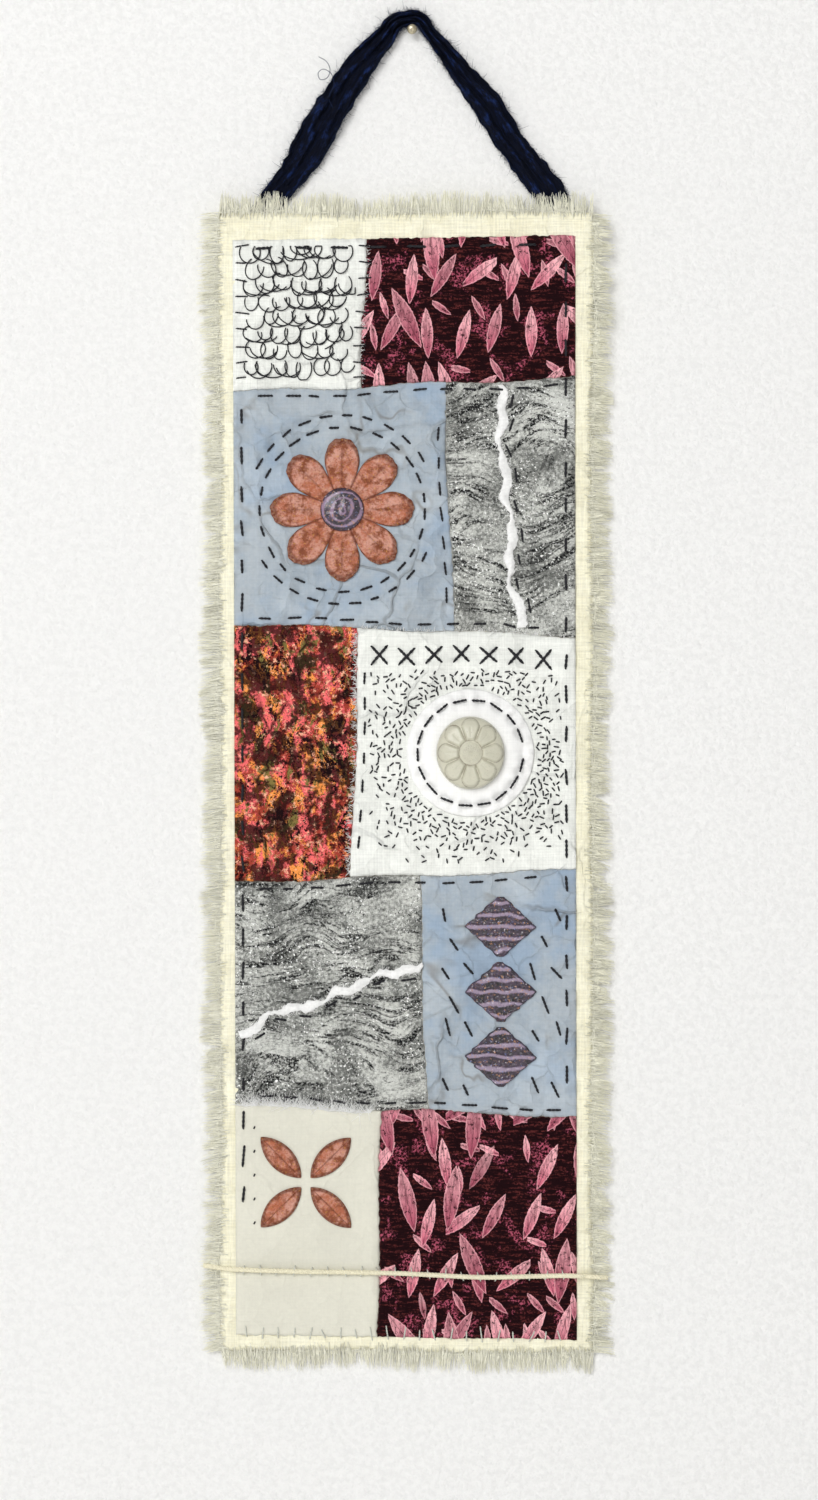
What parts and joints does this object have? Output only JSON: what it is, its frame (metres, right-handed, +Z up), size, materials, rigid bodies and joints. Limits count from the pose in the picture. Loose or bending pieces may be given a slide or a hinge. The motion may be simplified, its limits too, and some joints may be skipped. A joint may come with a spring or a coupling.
{
  "type": "art quilt wall hanging with ribbon hanger and wall nail",
  "caption": "Narrow pieced and applied textile panel on frayed cream cloth, hung by a torn navy cloth ribbon from a round-headed wall nail.",
  "frame": {"origin": "point where the nail enters the wall, in the plane of the wall", "axes": "+Z up, +Y into the wall, so the front of the quilt faces -Y; +X to the viewer's right"},
  "size_m": [0.1535, 0.0137, 0.5037],
  "materials": {
    "nail_steel": "dull brass-washed steel",
    "navy_cloth": "crumpled torn cotton",
    "cream_cloth": "plain-woven cotton",
    "ravelled_thread": "ravelled cotton threads",
    "plain_cream_cloth": "plain-woven cotton",
    "maroon_print": "printed cotton",
    "grey_print": "rubbed and mottled cotton",
    "blue_cloth": "crumpled dyed cotton",
    "rust_print": "printed cotton",
    "white_muslin": "thin muslin",
    "torn_white_cloth": "torn cotton edge",
    "coral_print": "printed cotton",
    "purple_gloss_cloth": "glossy ridged cloth",
    "padded_white_cloth": "padded muslin",
    "ivory_ceramic": "satin glaze",
    "cotton_cord": "twisted cotton"
  },
  "bodies": {
    "root": {"nail": "nail_steel", "hanger_ribbon": "navy_cloth", "backing_cloth": "cream_cloth", "fringe_top": "ravelled_thread", "fringe_bottom": "ravelled_thread", "fringe_left": "ravelled_thread", "fringe_right": "ravelled_thread", "patch_cream": "plain_cream_cloth", "patch_maroon": "maroon_print", "patch_grey_low": "grey_print", "patch_blue_low": "blue_cloth", "patch_rust": "rust_print", "patch_muslin": "white_muslin", "patch_blue_high": "blue_cloth", "patch_grey_high": "grey_print", "patch_white_top": "white_muslin", "patch_berry_top": "maroon_print", "torn_edge_high": "torn_white_cloth", "torn_edge_low": "torn_white_cloth", "flower_petals": "coral_print", "flower_centre": "purple_gloss_cloth", "padded_round": "padded_white_cloth", "ceramic_cabochon": "ivory_ceramic", "peel_1": "coral_print", "peel_2": "coral_print", "peel_3": "coral_print", "peel_4": "coral_print", "lozenge_1": "purple_gloss_cloth", "lozenge_2": "purple_gloss_cloth", "lozenge_3": "purple_gloss_cloth", "couched_cord": "cotton_cord"}
  },
  "joints": []
}
